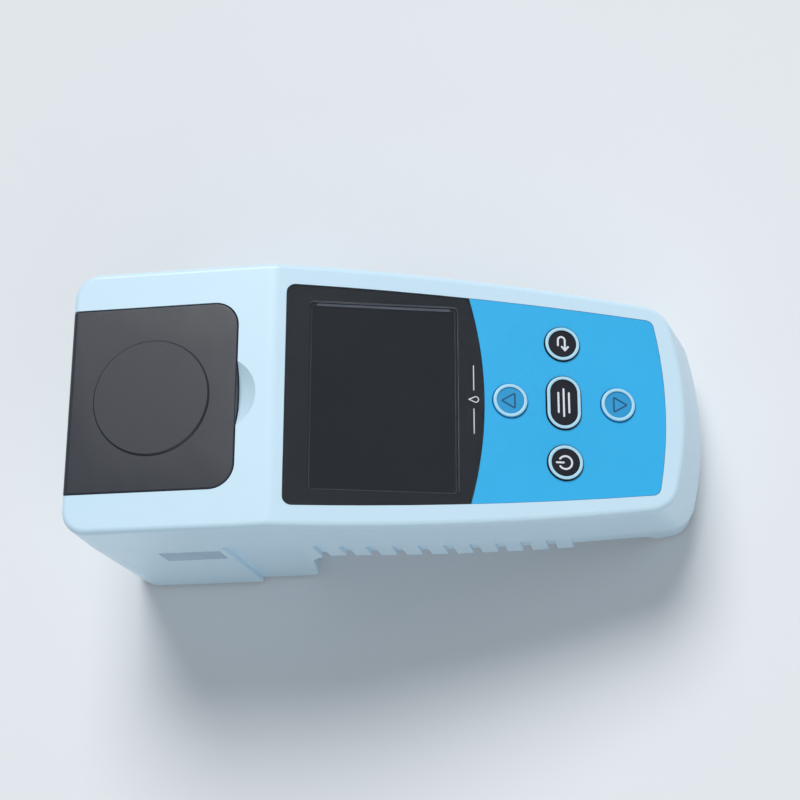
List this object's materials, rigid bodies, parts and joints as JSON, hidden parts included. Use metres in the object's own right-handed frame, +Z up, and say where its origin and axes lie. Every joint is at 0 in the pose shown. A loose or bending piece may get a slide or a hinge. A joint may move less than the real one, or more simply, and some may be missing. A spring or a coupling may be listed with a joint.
{
  "type": "turbidity meter",
  "caption": "Handheld turbidity meter with a level head, hinged lid over a round vial well, sloped handle with display and keypad, ribbed grip.",
  "frame": {"origin": "middle of the footprint, on the surface that the instrument stands on", "axes": "+Z up, +Y along the instrument towards the head with the lid, +X its right"},
  "size_m": [0.09, 0.203, 0.0807],
  "materials": {
    "shell_blue": "fine satin moulded plastic",
    "lid_slate": "fine satin moulded plastic",
    "black_plastic": "matt black moulding",
    "black_foam": "closed-cell foam",
    "rubber_dark": "matt rubber",
    "cover_rubber": "matt rubber",
    "door_blue": "fine satin moulded plastic",
    "steel": "plain",
    "contact_metal": "nickel plated",
    "clear_sheet": "clear gloss polycarbonate",
    "black_print": "printed black",
    "grey_gasket": "light grey foam rubber",
    "display_frame": "moulded frame",
    "display_glass": "dark glass, switched off",
    "keypad_blue": "satin printed sheet",
    "key_face": "black face with a light blue border",
    "key_blue": "blue face with a light blue border",
    "key_rubber": "silicone",
    "board_green": "circuit board",
    "ribbon": "flat cable",
    "cell_wrap": "plain wrapped cells"
  },
  "bodies": {
    "root": {"upper_housing": "shell_blue", "lower_housing": "shell_blue", "well_collar": "black_plastic", "optical_block": "black_plastic", "light_source": "black_plastic", "scatter_detector": "black_plastic", "transmission_detector": "black_plastic", "battery_tray": "black_plastic", "buzzer": "black_plastic", "rubber_feet": "rubber_dark", "tail_pad": "rubber_dark", "lid_hinge_pin": "steel", "board_screws": "steel", "block_screws": "steel", "housing_screws": "steel", "usb_socket": "steel", "battery_contacts": "contact_metal", "display_window": "clear_sheet", "source_lens": "clear_sheet", "display_mask": "black_print", "display_gasket": "grey_gasket", "lcd_module": "display_frame", "lcd_panel": "display_glass", "keypad_membrane": "keypad_blue", "key_mat": "key_rubber", "main_board": "board_green", "sensor_board": "board_green", "port_board": "board_green", "sensor_ribbon": "ribbon", "battery_cells": "cell_wrap"},
    "lid": {"lid_cover": "lid_slate", "lid_liner": "lid_slate", "lid_seal": "black_foam"},
    "battery_door": {"battery_door": "door_blue", "door_pad": "black_foam"},
    "port_cover": {"port_cover": "cover_rubber"},
    "power_key": {"power_key": "key_face"},
    "return_key": {"return_key": "key_face"},
    "middle_key": {"middle_key": "key_face"},
    "up_key": {"up_key": "key_blue"},
    "down_key": {"down_key": "key_blue"}
  },
  "joints": [
    {"name": "lid_hinge", "type": "hinge", "parent": "root", "child": "lid", "pos_m": [0, 0.0982, 0.07], "axis": [-1, 0, 0], "range_deg": [0, 100]},
    {"name": "battery_door_hinge", "type": "hinge", "parent": "root", "child": "battery_door", "pos_m": [0, -0.05976, 0.01358], "axis": [-1, 0, 0], "range_deg": [0, 60]},
    {"name": "port_cover_hinge", "type": "hinge", "parent": "root", "child": "port_cover", "pos_m": [-0.04428, 0.0665, 0.05135], "axis": [0, 1, 0], "range_deg": [0, 110]},
    {"name": "power_key_press", "type": "slide", "parent": "root", "child": "power_key", "axis": [0, 0.294, -0.9558], "range_m": [0, 0.0005], "stiffness_N_per_m": 400},
    {"name": "return_key_press", "type": "slide", "parent": "root", "child": "return_key", "axis": [0, 0.294, -0.9558], "range_m": [0, 0.0005], "stiffness_N_per_m": 400},
    {"name": "middle_key_press", "type": "slide", "parent": "root", "child": "middle_key", "axis": [0, 0.294, -0.9558], "range_m": [0, 0.0005], "stiffness_N_per_m": 400},
    {"name": "up_key_press", "type": "slide", "parent": "root", "child": "up_key", "axis": [0, 0.294, -0.9558], "range_m": [0, 0.0005], "stiffness_N_per_m": 400},
    {"name": "down_key_press", "type": "slide", "parent": "root", "child": "down_key", "axis": [0, 0.294, -0.9558], "range_m": [0, 0.0005], "stiffness_N_per_m": 400}
  ]
}
